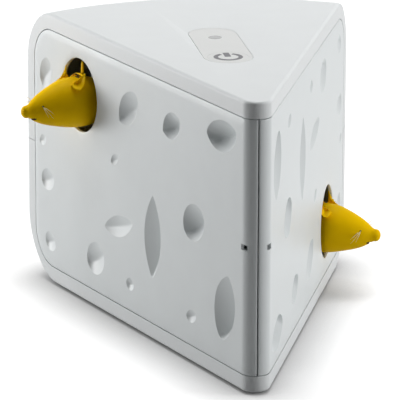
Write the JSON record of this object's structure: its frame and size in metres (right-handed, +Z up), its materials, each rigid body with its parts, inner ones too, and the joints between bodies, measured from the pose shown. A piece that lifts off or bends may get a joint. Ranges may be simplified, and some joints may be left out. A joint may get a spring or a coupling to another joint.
{
  "type": "automatic cheese cat toy",
  "caption": "Cheese-wedge housing with dimpled side panels; a yellow mouse swings in and out of a round hole in each side, driven by a geared motor.",
  "frame": {"origin": "middle of the footprint of the whole toy, mice included, on the surface that it stands on", "axes": "+Y from the tip of the wedge to its curved rind, +Z up, +X to the right seen from the tip"},
  "size_m": [0.1922, 0.2502, 0.1502],
  "materials": {
    "housing_white": "satin white moulded plastic",
    "panel_white": "satin white moulded plastic",
    "label_grey": "satin pale warm grey film",
    "lens_grey": "cloudy grey light pipe",
    "mouse_yellow": "satin yellow moulded plastic",
    "bristle": "pale translucent nylon",
    "foot_rubber": "matt",
    "steel": "bright",
    "gear_plastic": "natural acetal",
    "chassis_plastic": "dark grey moulded",
    "board_green": "solder mask",
    "cell_blue": "shrink sleeve over steel",
    "switch_black": "moulded",
    "led_clear": "water-clear epoxy",
    "lead_red": "flat twin insulation"
  },
  "bodies": {
    "housing": {"upper_shell": "housing_white", "lower_shell": "housing_white", "battery_door": "housing_white", "left_panel": "panel_white", "right_panel": "panel_white", "drive_chassis": "chassis_plastic", "shell_screw_1": "steel", "shell_screw_2": "steel", "shell_screw_3": "steel", "shell_screw_4": "steel", "door_screw": "steel", "foot_tip": "foot_rubber", "foot_left": "foot_rubber", "foot_right": "foot_rubber", "control_label": "label_grey", "tact_switch": "switch_black", "indicator_lens": "lens_grey", "indicator_led": "led_clear", "main_board": "board_green", "front_board_screw": "steel", "rear_board_screw": "steel", "battery_cell_left": "cell_blue", "battery_cell_middle": "cell_blue", "battery_cell_right": "cell_blue", "front_contacts": "steel", "rear_contacts": "steel", "battery_leads": "lead_red", "left_motor_leads": "lead_red", "right_motor_leads": "lead_red", "left_pivot_shaft": "steel", "left_idler_axle": "steel", "left_motor": "steel", "left_motor_screw_front": "steel", "left_motor_screw_rear": "steel", "right_pivot_shaft": "steel", "right_idler_axle": "steel", "right_motor": "steel", "right_motor_screw_front": "steel", "right_motor_screw_rear": "steel"},
    "button": {"power_button": "label_grey", "switch_plunger": "switch_black"},
    "left_swing": {"left_mouse": "mouse_yellow", "left_whiskers": "bristle", "left_mouse_screw_lower": "steel", "left_mouse_screw_upper": "steel", "left_swing_arm": "gear_plastic", "left_sector_gear": "gear_plastic"},
    "left_idler": {"left_idler_gear": "gear_plastic"},
    "left_pinion": {"left_motor_pinion": "gear_plastic", "left_motor_shaft": "steel"},
    "right_swing": {"right_mouse": "mouse_yellow", "right_whiskers": "bristle", "right_mouse_screw_lower": "steel", "right_mouse_screw_upper": "steel", "right_swing_arm": "gear_plastic", "right_sector_gear": "gear_plastic"},
    "right_idler": {"right_idler_gear": "gear_plastic"},
    "right_pinion": {"right_motor_pinion": "gear_plastic", "right_motor_shaft": "steel"}
  },
  "joints": [
    {"name": "left_mouse_swing", "type": "hinge", "parent": "housing", "child": "left_swing", "pos_m": [-0.07187, 0.08685, 0.0757], "axis": [0, 0, -1], "range_deg": [-60, 4.4]},
    {"name": "left_idler_spin", "type": "hinge", "parent": "housing", "child": "left_idler", "pos_m": [-0.04681, 0.08337, 0.0757], "axis": [0, 0, -1], "range_deg": [-18.6, 241]},
    {"name": "left_motor_spin", "type": "hinge", "parent": "housing", "child": "left_pinion", "pos_m": [-0.04098, 0.06082, 0.0757], "axis": [0, 0, -1], "range_deg": [-867, 66.36]},
    {"name": "right_mouse_swing", "type": "hinge", "parent": "housing", "child": "right_swing", "pos_m": [0.07703, 0.08685, 0.0757], "axis": [0, 0, 1], "range_deg": [-54.7, 9.7]},
    {"name": "right_idler_spin", "type": "hinge", "parent": "housing", "child": "right_idler", "pos_m": [0.05197, 0.08337, 0.0757], "axis": [0, 0, 1], "range_deg": [-39.8, 219.8]},
    {"name": "right_motor_spin", "type": "hinge", "parent": "housing", "child": "right_pinion", "pos_m": [0.04614, 0.06082, 0.0757], "axis": [0, 0, 1], "range_deg": [-790.68, 142.68]},
    {"name": "power_button_press", "type": "slide", "parent": "housing", "child": "button", "axis": [0, 0, -1], "range_m": [0, 0.001], "stiffness_N_per_m": 600}
  ],
  "couplings": [
    {"joint": "left_idler_spin", "follows": "left_mouse_swing", "ratio": -4},
    {"joint": "left_motor_spin", "follows": "left_mouse_swing", "ratio": 14.4},
    {"joint": "right_idler_spin", "follows": "right_mouse_swing", "ratio": -4},
    {"joint": "right_motor_spin", "follows": "right_mouse_swing", "ratio": 14.4}
  ]
}
